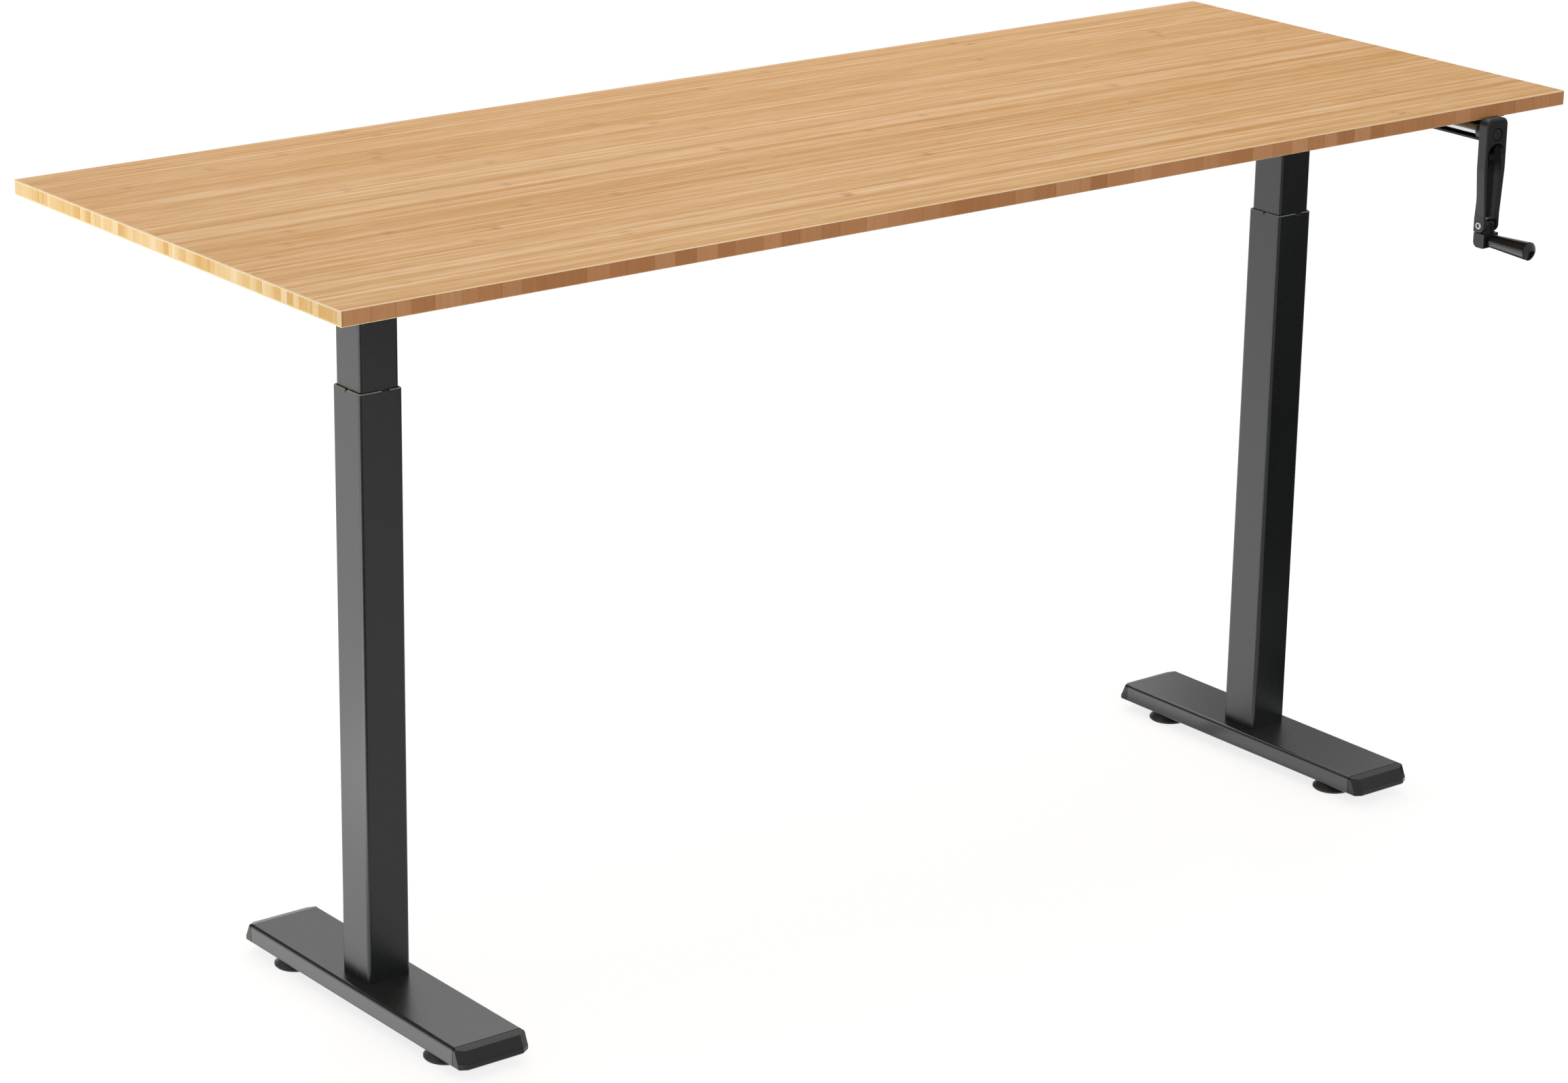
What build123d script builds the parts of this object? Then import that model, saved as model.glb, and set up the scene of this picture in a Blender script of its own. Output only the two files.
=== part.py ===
from build123d import *
import math
import os

# Hand-cranked height adjustable desk, drawn at the height of the photograph.
# X runs along the desk with the crank on the +X end, Y runs to the back, Z up, in millimetres.
# The origin is on the floor, under the middle of the whole desk with its crank.

# Tabletop
top_length = 1600.0
top_depth = 600.0
top_thick = 16.0
top_arris = 0.8
desk_height = 829.0

# Where the two legs stand under the tabletop
leg_inset = 180.0
leg_shift_x = 25.0
leg_shift_y = -22.0

# Lift: how far the desk goes down and up from the drawn height
lower_travel = 115.0
raise_travel = 335.0
travel_gap = 3.0

# Running and fitting clearances
run_clear = 0.05
slide_clear = 0.1
part_gap = 0.3
hole_clear = 0.5

# Feet
foot_length = 376.0
foot_width = 84.0
foot_height = 21.0
foot_wall = 2.0
foot_top_radius = 4.0
foot_low_radius = 3.0
foot_shift_y = -12.0
cap_length = 16.0
cap_lean = 6.4
cap_brow_fall = 3.4
cap_band = 6.5
cap_ledge = 0.6
cap_low_chamfer = 1.4
cap_corner_along = 5.5
cap_corner_across = 9.0
cap_joint_width = 0.7
cap_joint_depth = 0.6
cap_plug = 12.0
cap_plug_wall = 2.5

# Levelling glides
glide_foot_diameter = 46.0
glide_neck_diameter = 30.0
glide_height = 12.0
glide_rim = 2.5
glide_stud = 8.0
glide_stud_length = 16.0
glide_inset = 48.0
glide_offset = 17.0

# Columns
outer_width = 50.0
outer_wall = 1.5
outer_radius = 4.0
outer_length = 625.0
inner_width = 45.0
inner_wall = 1.5
inner_radius = 3.5
sleeve_length = 60.0
notch_wide = 9.0
notch_small = 4.0
notch_deep = 3.0
notch_shift = 5.0
tab_drop = 1.0
rim_chamfer = 0.8
shoe_length = 50.0
shoe_lip = 2.0
shoe_opening = 36.0

# Base plate, nut tube and nut in each lower column
plate_thick = 10.0
foot_bolt = 8.0
foot_bolt_head = 13.0
foot_bolt_key = 6.0
foot_bolt_key_depth = 4.0
foot_bolt_spread = 28.0
nut_tube_diameter = 22.0
nut_tube_wall = 2.5
nut_tube_length = 480.0
nut_tube_seat = 4.0
nut_length = 30.0
nut_spigot = 10.0

# Lead screws
screw_diameter = 14.0
screw_tip_chamfer = 1.5
journal_diameter = 10.0

# Mitre gears, all alike, meshing at right angles
gear_teeth = 16
gear_radius = 10.0
gear_addendum = 0.9
gear_dedendum = 1.25
gear_inner_share = 0.6
tooth_pitch_share = 0.40
tooth_tip_share = 0.20
tooth_root_share = 0.58
hub_diameter = 14.0
hub_length = 8.0
hex_across = 8.0

# Gear housings on top of the columns
axis_drop = 14.0
cover_thick = 2.0
seat_drop = 20.0
spigot_drop = 14.0
room_half = 12.4
housing_wall = 4.5
housing_radius = 2.0
room_clear = 0.5
bush_length = 6.0
bush_wall = 2.0
bearing_diameter = 26.0
bearing_height = 8.0
bearing_ledge = 2.0

# Steel frame under the tabletop
sheet = 2.5
bracket_inset = 88.0
bracket_end_depth = 14.0
bracket_straight = 98.0
rail_offset = 66.0
rail_width = 40.0
rail_height = 25.0
rail_wall = 1.5
rail_plate = 6.0
rail_plate_width = 66.0
rail_radius = 2.5
rail_bolt = 6.0
rail_bolt_spread = 52.0
housing_bolt = 5.0
housing_bolt_spread = 28.0
housing_bolt_rise = 4.5
housing_bolt_bite = 7.0
bolt_head_share = 0.9
bolt_head_rise_share = 0.65
wood_screw = 4.5
wood_screw_bite = 11.0
wood_screw_head = 9.0
wood_screw_crown = 2.5
wood_screw_inset = 18.0
wood_screw_clear = 10.0
support_screw_inset = 16.0
cover_screw = 3.0
cover_screw_inset = 2.8
cover_screw_bite = 8.0

# Crank rod and its support behind the front edge
rod_diameter = 12.0
rod_end_diameter = 8.0
support_sheet = 2.0
support_setback = 5.0
support_length = 76.0
support_flange = 24.0
rod_bush_diameter = 18.0
rod_bush_length = 7.0
rod_bush_wall = 1.6
strap_width = 12.0

# Crank arm, fold block and grip
edge_gap = 4.0
arm_throw = 102.0
arm_head = 18.0
arm_top_width = 32.0
arm_low_width = 24.0
arm_top_depth = 12.5
arm_low_depth = 15.5
arm_edge_radius = 2.2
arm_head_radius = 8.0
arm_taper_low = 12.0
arm_taper_high = 63.0
arm_waist_radius = 60.0
arm_back_low = 4.0
arm_back_high = 34.0
hinge_depth = 8.5
hinge_bolt = 5.0
hinge_head = 8.8
hinge_head_rise = 1.8
hinge_key = 4.0
hinge_recess = 1.0
hinge_recess_diameter = 9.8
slot_room = 2.0
plug_diameter = 15.0
plug_thick = 2.0
boss_diameter = 18.0
boss_length = 5.0
tongue_thick = 15.4
tongue_radius = 6.2
tongue_rise = 3.8
tongue_groove = 6.4
tongue_groove_depth = 0.8
block_width = 22.4
block_height = 16.0
block_gap = 0.4
block_rear_radius = 6.0
block_front_radius = 1.5
grip_reach = 70.0
grip_root_diameter = 14.6
grip_end_diameter = 20.4
grip_dome = 4.5
grip_end_hole = 2.6
grip_end_hole_depth = 2.0
grip_start_gap = 0.6
grip_ring = 0.8
grip_ring_depth = 0.5
spindle_diameter = 6.0
spindle_length = 40.0
spindle_socket = 10.0
trough_low_half = 9.4
trough_low_depth = 6.5
trough_high = 74.0
trough_high_half = 12.8
trough_high_depth = 7.4
pocket_high = 79.0
pocket_half = 13.2
pocket_depth = 9.2

# Places that follow from the sizes above
crank_reach = edge_gap + arm_low_depth - hinge_depth + grip_reach
top_y = crank_reach / 2
front_y = top_y - top_depth / 2
rear_y = top_y + top_depth / 2
leg_y = top_y + leg_shift_y
leg_spacing = top_length - 2 * leg_inset
leg_x = {"left": leg_shift_x - leg_spacing / 2, "right": leg_shift_x + leg_spacing / 2}
foot_low = glide_height + part_gap
foot_top = foot_low + foot_height
foot_y = leg_y + foot_shift_y
rim_z = foot_top + outer_length
under_z = desk_height - top_thick
axis_z = under_z - axis_drop
seat_z = axis_z - seat_drop
bush_seat_z = axis_z - rod_diameter / 2 - rod_bush_wall
plate_top = foot_top + plate_thick
inner_low = plate_top + travel_gap + lower_travel + shoe_lip
nut_seat_z = plate_top - nut_tube_seat + nut_tube_length
screw_low = nut_seat_z - nut_spigot - raise_travel - travel_gap
sleeve_inside = inner_width + 2 * slide_clear
outer_inside = outer_width - 2 * outer_wall
inner_inside = inner_width - 2 * inner_wall
hex_radius = hex_across / math.sqrt(3)
shaft_hole = 2 * (hex_radius + hole_clear)
bush_diameter = hub_diameter + 2 * run_clear + 2 * bush_wall
hub_end = gear_radius + hub_length
housing_side = hub_end + housing_wall
housing_front = leg_y - housing_side
housing_rear = leg_y + housing_side
bush_from = hub_end - bush_length
crank_offset = room_half + bush_length + gear_radius + room_clear + 3 * part_gap + 2 * slide_clear
crank_x = leg_x["right"] + crank_offset
bearing_top = axis_z - seat_drop + bearing_ledge
bracket_low = seat_z
arm_front = front_y - edge_gap - arm_low_depth
arm_rear = arm_front + arm_low_depth
arm_slim = arm_front + arm_top_depth
bush_front_y = arm_slim + boss_length + part_gap
hinge_y = arm_front + hinge_depth
hinge_z = axis_z - arm_throw
block_top = hinge_z - hinge_depth - block_gap
grip_z = block_top - block_height / 2
spindle_root_y = arm_front + spindle_socket
spindle_tip_y = spindle_root_y - spindle_length
nodes = {}


def span_box(x0, x1, y0, y1, z0, z1):
    return Pos((x0 + x1) / 2, (y0 + y1) / 2, (z0 + z1) / 2) * Box(x1 - x0, y1 - y0, z1 - z0)


def upright(face, x, y, z0, z1):
    return extrude(Pos(x, y, z0) * face, amount=z1 - z0, dir=(0, 0, 1))


def rod_between(start, end, diameter):
    direction = Vector(*end) - Vector(*start)
    return extrude(Plane(start, z_dir=direction) * Circle(diameter / 2), amount=direction.length)


def square(width, radius):
    return RectangleRounded(width, width, radius)


def square_ring(outside, outside_radius, inside, inside_radius):
    return square(outside, outside_radius) - square(inside, inside_radius)


def hexagon(across_flats):
    return RegularPolygon(across_flats / math.sqrt(3), 6)


def facing_x(x, y, z, way=1):
    return Plane((x, y, z), x_dir=(0, 1, 0), z_dir=(way, 0, 0))


def facing_front(x, y, z):
    return Plane((x, y, z), x_dir=(1, 0, 0), z_dir=(0, -1, 0))


# Tabletop
def wood_screw_spots():
    spots = []
    for side in ("left", "right"):
        low_x, high_x = bracket_sides(side)
        row_x = (low_x + high_x) / 2 - (crank_offset / 2 if side == "right" else 0)
        reach = bracket_straight + wood_screw_clear
        for y in (front_y + bracket_inset + wood_screw_inset, leg_y - reach):
            spots.append((row_x, y, under_z - sheet))
        for y in (leg_y + reach, rear_y - bracket_inset - wood_screw_inset):
            spots.append((row_x, y, under_z - sheet))
    flange_x = crank_x + rod_bush_diameter / 2 + support_sheet + support_flange / 2
    start = front_y + support_setback
    for y in (start + support_screw_inset, start + support_length - support_screw_inset):
        spots.append((flange_x, y, under_z - support_sheet))
    return spots


def tabletop():
    slab = span_box(-top_length / 2, top_length / 2, front_y, rear_y, under_z, desk_height)
    slab = chamfer(slab.edges(), top_arris)
    for x, y, seat in wood_screw_spots():
        slab -= rod_between((x, y, under_z - 1), (x, y, seat + wood_screw_bite), wood_screw)
    return slab


def tabletop_screws():
    screws = []
    for x, y, seat in wood_screw_spots():
        shank = rod_between((x, y, seat), (x, y, seat + wood_screw_bite), wood_screw)
        low = Pos(x, y, seat - wood_screw_crown) * Circle(wood_screw * bolt_head_rise_share)
        head = loft([Pos(x, y, seat) * Circle(wood_screw_head / 2), low])
        screws.append(shank + head)
    return Compound(children=screws)


# Feet
def foot_section(grow=0.0):
    width = foot_width + 2 * grow
    height = foot_height + 2 * grow
    face = Rectangle(width, height)
    face = fillet(face.vertices().group_by(Axis.Y)[-1], max(foot_top_radius + grow, 0.5))
    return fillet(face.vertices().group_by(Axis.Y)[0], max(foot_low_radius + grow, 0.5))


def along_foot(face, x, y0, y1):
    plane = Plane((x, y0, foot_low + foot_height / 2), x_dir=(1, 0, 0), z_dir=(0, -1, 0))
    return extrude(plane * face, amount=y0 - y1)


def foot_bolt_spots(x):
    half = foot_bolt_spread / 2
    return [(x + a * half, leg_y + b * half) for a in (-1, 1) for b in (-1, 1)]


def foot_tube(side):
    x = leg_x[side]
    wall = foot_section() - foot_section(-foot_wall)
    tube = along_foot(wall, x, foot_y + foot_length / 2, foot_y - foot_length / 2)
    for y in glide_rows():
        hole = Circle(glide_stud / 2 + slide_clear)
        tube -= upright(hole, x - glide_offset, y, foot_low - 1, foot_low + foot_wall + 1)
    for bolt_x, bolt_y in foot_bolt_spots(x):
        hole = Circle((foot_bolt + hole_clear) / 2)
        tube -= upright(hole, bolt_x, bolt_y, foot_top - foot_wall - 1, foot_top + 1)
        access = Circle(foot_bolt_head / 2 + 2 * hole_clear)
        tube -= upright(access, bolt_x, bolt_y, foot_low - 1, foot_low + foot_wall + 1)
    return tube


def cap_plan(x, seat_y, end, reach, z):
    # Plan of a cap: straight sides, cut corners and a flat end
    half = foot_width / 2
    points = [
        (-half, 0),
        (-half, reach - cap_corner_along),
        (cap_corner_across - half, reach),
        (half - cap_corner_across, reach),
        (half, reach - cap_corner_along),
        (half, 0),
    ]
    return Pos(0, 0, z) * make_face(Polyline([(x + a, seat_y + end * b) for a, b in points], close=True))


def foot_cap(side, end):
    x = leg_x[side]
    seat_y = foot_y + end * foot_length / 2
    half = foot_width / 2
    # Upright lower band, with a face on it that leans in from a narrow ledge
    band_top = foot_low + cap_band
    band = extrude(cap_plan(x, seat_y, end, cap_length, foot_low), amount=cap_band, dir=(0, 0, 1))
    low_edges = band.edges().group_by(Axis.Z)[0]
    outer_edges = low_edges.filter_by(lambda e: abs(e.center().Y - seat_y) > cap_length / 2)
    band = chamfer(outer_edges, cap_low_chamfer)
    face_reach = cap_length - cap_ledge
    lower = cap_plan(x, seat_y, end, face_reach, band_top)
    upper = cap_plan(x, seat_y, end, face_reach - cap_lean, foot_top)
    body = band + loft([lower, upper], ruled=True)
    # The brow falls from the tube's top to the leaning face
    side_view = [(0, foot_low), (cap_length, foot_low), (cap_length, foot_top - cap_brow_fall), (0, foot_top)]
    brow = make_face(Polyline([(seat_y + end * a, b) for a, b in side_view], close=True))
    body &= extrude(facing_x(x - half, 0, 0) * brow, amount=foot_width)
    near, far = sorted((seat_y, seat_y + end * cap_length))
    body &= along_foot(foot_section(), x, far, near)
    # A narrow groove is left where the cap meets the tube
    near, far = sorted((seat_y, seat_y + end * cap_joint_width))
    body -= along_foot(foot_section(1) - foot_section(-cap_joint_depth), x, far, near)
    plug_out = foot_section(-foot_wall)
    plug_in = foot_section(-foot_wall - cap_plug_wall)
    near, far = sorted((seat_y, seat_y - end * cap_plug))
    return body + along_foot(plug_out - plug_in, x, far, near)


def glide_rows():
    return (foot_y - foot_length / 2 + glide_inset, foot_y + foot_length / 2 - glide_inset)


def levelling_glide(side, y):
    # The glides stand near one side of the foot, clear of the bolts in its middle
    x = leg_x[side] - glide_offset
    cone_low = glide_foot_diameter / 2
    cone_high = glide_neck_diameter / 2
    profile = [
        (0, 0),
        (cone_low - 1, 0),
        (cone_low, 1),
        (cone_low, glide_rim),
        (cone_high, glide_height - 1),
        (cone_high - 1, glide_height),
        (glide_stud / 2, glide_height),
        (glide_stud / 2, glide_height + glide_stud_length - 1),
        (glide_stud / 2 - 1, glide_height + glide_stud_length),
        (0, glide_height + glide_stud_length),
    ]
    return Pos(x, y, 0) * revolve(Plane.XZ * make_face(Polyline(profile, close=True)), Axis.Z)


# Lower columns
def rim_notches(x, deep, low, high, narrow):
    # One wide notch front and back and one small notch on each side wall, cut down from the rim
    half = outer_width / 2
    wide = notch_wide / 2 - narrow
    small = notch_small / 2 - narrow
    cuts = []
    for face in (-1, 1):
        near, far = sorted((face * (half + deep), face * (half - outer_wall)))
        middle = x + notch_shift
        cuts.append(span_box(middle - wide, middle + wide, leg_y + near, leg_y + far, low, high))
        cuts.append(span_box(x + near, x + far, leg_y - small, leg_y + small, low, high))
    return cuts


def outer_column(side):
    x = leg_x[side]
    ring = square_ring(outer_width, outer_radius, outer_inside, outer_radius - outer_wall)
    column = upright(ring, x, leg_y, foot_top, rim_z)
    column = chamfer(column.faces().sort_by(Axis.Z)[-1].outer_wire().edges(), rim_chamfer)
    for cut in rim_notches(x, 1, rim_z - notch_deep, rim_z + 1, 0):
        column -= cut
    return column


def guide_sleeve(side):
    x = leg_x[side]
    ring = square_ring(outer_inside, outer_radius - outer_wall, sleeve_inside, inner_radius + slide_clear)
    sleeve = upright(ring, x, leg_y, rim_z - sleeve_length, rim_z - tab_drop / 2)
    for tab in rim_notches(x, -outer_wall * 0.3, rim_z - notch_deep, rim_z - tab_drop, part_gap):
        sleeve += tab
    return sleeve


def base_plate(side):
    x = leg_x[side]
    plate = upright(square(outer_inside, outer_radius - outer_wall), x, leg_y, foot_top, plate_top)
    plate -= rod_between((x, leg_y, plate_top - nut_tube_seat), (x, leg_y, plate_top + 1), nut_tube_diameter)
    for bolt_x, bolt_y in foot_bolt_spots(x):
        plate -= rod_between((bolt_x, bolt_y, foot_top - 1), (bolt_x, bolt_y, plate_top + 1), foot_bolt)
    return plate


def foot_bolts(side):
    bolts = []
    for x, y in foot_bolt_spots(leg_x[side]):
        head_low = foot_top - foot_wall - foot_bolt
        head = rod_between((x, y, head_low), (x, y, foot_top - foot_wall), foot_bolt_head)
        socket = upright(hexagon(foot_bolt_key), x, y, head_low, head_low + foot_bolt_key_depth)
        shank = rod_between((x, y, foot_top - foot_wall), (x, y, plate_top), foot_bolt)
        bolts.append(head + shank - socket)
    return Compound(children=bolts)


def nut_tube(side):
    ring = Circle(nut_tube_diameter / 2) - Circle(nut_tube_diameter / 2 - nut_tube_wall)
    return upright(ring, leg_x[side], leg_y, plate_top - nut_tube_seat, nut_seat_z)


def lead_nut(side):
    x = leg_x[side]
    low = nut_seat_z - nut_spigot
    high = nut_seat_z + nut_length
    nut = upright(Circle(nut_tube_diameter / 2), x, leg_y, nut_seat_z, high)
    nut += upright(Circle(nut_tube_diameter / 2 - nut_tube_wall), x, leg_y, low, nut_seat_z)
    return nut - upright(Circle(screw_diameter / 2 + run_clear), x, leg_y, low - 1, high + 1)


# Upper columns
def inner_column(side):
    ring = square_ring(inner_width, inner_radius, inner_inside, inner_radius - inner_wall)
    return upright(ring, leg_x[side], leg_y, inner_low, seat_z)


def column_shoe(side):
    x = leg_x[side]
    outside = outer_inside - 2 * slide_clear
    ring = square_ring(outside, outer_radius - outer_wall, inner_width, inner_radius)
    shoe = upright(ring, x, leg_y, inner_low, inner_low + shoe_length)
    lip = square_ring(outside, outer_radius - outer_wall, shoe_opening, inner_radius)
    return shoe + upright(lip, x, leg_y, inner_low - shoe_lip, inner_low)


# Mitre gears: straight teeth that all point at the crossing of the two axes
def tooth_outline(scale, phase):
    pitch = 2 * math.pi / gear_teeth
    tip = (gear_radius + gear_addendum) * scale
    root = (gear_radius - gear_dedendum) * scale
    points = []
    for n in range(gear_teeth):
        middle = (n + phase) * pitch
        for radius, share, sign in (
            (root, tooth_root_share, -1),
            (gear_radius * scale, tooth_pitch_share, -1),
            (tip, tooth_tip_share, -1),
            (tip, tooth_tip_share, 1),
            (gear_radius * scale, tooth_pitch_share, 1),
            (root, tooth_root_share, 1),
        ):
            angle = middle + sign * share * pitch / 2
            points.append((radius * math.cos(angle), radius * math.sin(angle)))
    return make_face(Polyline(points, close=True))


def mitre_gear(apex, outward, mate, phase, bore):
    plane = Plane(apex, x_dir=mate, z_dir=outward)
    large = Pos(0, 0, gear_radius) * tooth_outline(1.0, phase)
    small = Pos(0, 0, gear_radius * gear_inner_share) * tooth_outline(gear_inner_share, phase)
    gear = loft([small, large], ruled=True)
    gear += Pos(0, 0, gear_radius) * extrude(Circle(hub_diameter / 2), amount=hub_length)
    return plane * (gear - extrude(bore, amount=hub_end + 1))


def hex_section(turn=0.0):
    return Rot(0, 0, turn) * hexagon(hex_across)


def lead_screw(side):
    x = leg_x[side]
    shoulder = bearing_top - bearing_height
    screw = rod_between((x, leg_y, screw_low), (x, leg_y, shoulder), screw_diameter)
    screw = chamfer(screw.edges().group_by(Axis.Z)[0], screw_tip_chamfer)
    top = axis_z - gear_radius * gear_inner_share
    return screw + rod_between((x, leg_y, shoulder), (x, leg_y, top), journal_diameter)


def cross_shaft():
    start = leg_x["left"] - hub_end
    end = crank_x - gear_radius * gear_inner_share + part_gap
    return extrude(facing_x(start, leg_y, axis_z) * hex_section(), amount=end - start)


# Gear housings
def housing_span(side):
    x = leg_x[side]
    high = crank_offset + room_half + housing_wall if side == "right" else housing_side
    return x - housing_side, x + high


def housing_outline(side):
    low_x, high_x = housing_span(side)
    face = RectangleRounded(high_x - low_x, housing_rear - housing_front, housing_radius)
    return Pos((low_x + high_x) / 2, leg_y) * face


def cover_screw_spots(side):
    low_x, high_x = housing_span(side)
    columns = (low_x + cover_screw_inset, high_x - cover_screw_inset)
    rows = (housing_front + cover_screw_inset, housing_rear - cover_screw_inset)
    return [(x, y) for x in columns for y in rows]


def gear_housing(side):
    x = leg_x[side]
    top = under_z - cover_thick
    block = upright(housing_outline(side), 0, 0, seat_z, top)
    spigot = inner_inside - 2 * slide_clear
    block += upright(square(spigot, inner_radius - inner_wall), x, leg_y, seat_z - spigot_drop, seat_z)
    floor = axis_z - room_half
    block -= span_box(
        x - bush_from + part_gap, x + room_half, leg_y - room_half, leg_y + room_half, floor, top + 1
    )
    block -= rod_between((x, leg_y, bearing_top), (x, leg_y, floor + 1), hub_diameter + 2)
    block -= rod_between((x, leg_y, seat_z - spigot_drop - 1), (x, leg_y, bearing_top), bearing_diameter)
    # Bush seat for the gear on the cross shaft
    end = (x - hub_end - part_gap, leg_y, axis_z)
    block -= rod_between(end, (x, leg_y, axis_z), bush_diameter)
    if side == "left":
        block -= rod_between((x, leg_y, axis_z), (x + housing_side + 1, leg_y, axis_z), shaft_hole)
    else:
        block -= rod_between((x - housing_side - 1, leg_y, axis_z), (x, leg_y, axis_z), shaft_hole)
        room_low = crank_x - gear_radius - part_gap - room_clear
        block -= span_box(
            room_low, crank_x + room_half, leg_y - bush_from + part_gap, leg_y + room_half, floor, top + 1
        )
        block -= rod_between((x, leg_y, axis_z), (room_low + 1, leg_y, axis_z), bush_diameter)
        rear = (crank_x, leg_y, axis_z)
        block -= rod_between((crank_x, leg_y - hub_end - part_gap, axis_z), rear, bush_diameter)
        block -= rod_between((crank_x, leg_y - housing_side - 1, axis_z), rear, rod_diameter + 2 * hole_clear)
    for bolt_x, bolt_y, bolt_z, way in housing_bolt_spots(side):
        tip = bolt_x + way * (sheet + housing_bolt_bite)
        block -= rod_between((bolt_x - way, bolt_y, bolt_z), (tip, bolt_y, bolt_z), housing_bolt)
    for screw_x, screw_y in cover_screw_spots(side):
        block -= upright(Circle(cover_screw / 2), screw_x, screw_y, top - cover_screw_bite, top + 1)
    return block


def housing_cover(side):
    cover = upright(housing_outline(side), 0, 0, under_z - cover_thick, under_z - part_gap)
    for x, y in cover_screw_spots(side):
        cover -= rod_between((x, y, under_z - cover_thick - 1), (x, y, under_z), cover_screw)
    return cover


def cover_screws():
    screws = []
    for side in ("left", "right"):
        for x, y in cover_screw_spots(side):
            low = under_z - cover_thick - cover_screw_bite
            screws.append(upright(Circle(cover_screw / 2), x, y, low, under_z - part_gap))
    return Compound(children=screws)


def ring_along(start, end, outside, inside):
    longer = Vector(*end) - Vector(*start)
    ring = Circle(outside / 2) - Circle(inside / 2)
    return extrude(Plane(start, z_dir=longer) * ring, amount=longer.length)


def gear_bushes():
    bore = hub_diameter + 2 * run_clear
    bushes = []
    for side in ("left", "right"):
        x = leg_x[side]
        start = (x - hub_end, leg_y, axis_z)
        bushes.append(ring_along(start, (x - bush_from, leg_y, axis_z), bush_diameter, bore))
    x = leg_x["right"] + room_half + part_gap
    bushes.append(ring_along((x, leg_y, axis_z), (x + bush_length, leg_y, axis_z), bush_diameter, bore))
    start = (crank_x, leg_y - hub_end, axis_z)
    bushes.append(ring_along(start, (crank_x, leg_y - bush_from, axis_z), bush_diameter, bore))
    return Compound(children=bushes)


def screw_bearings():
    rings = []
    for x in leg_x.values():
        low = bearing_top - bearing_height
        bore = journal_diameter + 2 * run_clear
        rings.append(ring_along((x, leg_y, low), (x, leg_y, bearing_top), bearing_diameter, bore))
    return Compound(children=rings)


# Steel brackets that carry the tabletop
def bracket_sides(side):
    low_x, high_x = housing_span(side)
    return low_x - sheet, high_x + sheet


def housing_bolt_spots(side):
    low_x, high_x = bracket_sides(side)
    spots = []
    for x, way in ((low_x, 1), (high_x, -1)):
        for y in (leg_y - housing_bolt_spread / 2, leg_y + housing_bolt_spread / 2):
            spots.append((x, y, seat_z + housing_bolt_rise, way))
    return spots


def side_bracket(side):
    low_x, high_x = bracket_sides(side)
    front = front_y + bracket_inset
    rear = rear_y - bracket_inset
    flange = [
        (front, under_z),
        (rear, under_z),
        (rear, under_z - bracket_end_depth),
        (leg_y + bracket_straight, bracket_low),
        (leg_y - bracket_straight, bracket_low),
        (front, under_z - bracket_end_depth),
    ]
    profile = make_face(Polyline(flange, close=True))
    whole = extrude(facing_x(low_x, 0, 0) * profile, amount=high_x - low_x)
    whole -= span_box(low_x + sheet, high_x - sheet, front - 1, rear + 1, bracket_low - 1, under_z - sheet)
    window_front = housing_front - part_gap
    window_rear = housing_rear + part_gap
    whole -= span_box(low_x + sheet, high_x - sheet, window_front, window_rear, bracket_low - 1, under_z + 1)
    for x, y, z, way in housing_bolt_spots(side):
        whole -= rod_between((x - way, y, z), (x + 2 * way * sheet, y, z), housing_bolt)
    shaft_start = high_x - 2 * sheet if side == "left" else low_x - 1
    whole -= rod_between((shaft_start, leg_y, axis_z), (shaft_start + 4 * sheet, leg_y, axis_z), shaft_hole)
    for x, y, z, way in rail_bolt_spots():
        if abs(x - leg_x[side]) < leg_spacing / 4:
            whole -= rod_between((x - way, y, z), (x + way * (sheet + 1), y, z), rail_bolt)
    for x, y, seat in wood_screw_spots():
        if seat == under_z - sheet:
            whole -= rod_between((x, y, seat - 1), (x, y, under_z + 1), wood_screw)
    return whole


def housing_bolts():
    bolts = []
    for side in ("left", "right"):
        for x, y, z, way in housing_bolt_spots(side):
            outline = facing_x(x, y, z, -way) * RegularPolygon(housing_bolt * bolt_head_share, 6)
            head = extrude(outline, amount=housing_bolt * bolt_head_rise_share)
            tip = (x + way * (sheet + housing_bolt_bite), y, z)
            bolts.append(head + rod_between((x, y, z), tip, housing_bolt))
    return Compound(children=bolts)


# Cross rails between the two brackets
def rail_ends():
    return bracket_sides("left")[1], bracket_sides("right")[0]


def rail_z():
    return under_z - part_gap - rail_height / 2


def rail_bolt_spots():
    low_x, high_x = rail_ends()
    spots = []
    for row in (-1, 1):
        for shift in (-1, 1):
            y = leg_y + row * rail_offset + shift * rail_bolt_spread / 2
            spots.append((low_x - sheet, y, rail_z(), 1))
            spots.append((high_x + sheet, y, rail_z(), -1))
    return spots


def cross_rail(row):
    low_x, high_x = rail_ends()
    y = leg_y + row * rail_offset
    inside = (rail_width - 2 * rail_wall, rail_height - 2 * rail_wall)
    section = RectangleRounded(rail_width, rail_height, rail_radius)
    section -= RectangleRounded(*inside, rail_radius - rail_wall)
    start = facing_x(low_x + rail_plate, y, rail_z())
    rail = extrude(start * section, amount=high_x - low_x - 2 * rail_plate)
    plate = RectangleRounded(rail_plate_width, rail_height, rail_radius)
    for x in (low_x, high_x - rail_plate):
        rail += extrude(facing_x(x, y, rail_z()) * plate, amount=rail_plate)
    for x, bolt_y, z, way in rail_bolt_spots():
        if abs(bolt_y - y) < rail_offset / 2:
            rail -= rod_between((x, bolt_y, z), (x + way * (sheet + rail_plate), bolt_y, z), rail_bolt)
    return rail


def rail_bolts():
    bolts = []
    for x, y, z, way in rail_bolt_spots():
        outline = facing_x(x, y, z, -way) * RegularPolygon(rail_bolt * bolt_head_share, 6)
        head = extrude(outline, amount=rail_bolt * bolt_head_rise_share)
        bolts.append(head + rod_between((x, y, z), (x + way * (sheet + rail_plate), y, z), rail_bolt))
    return Compound(children=bolts)


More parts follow.
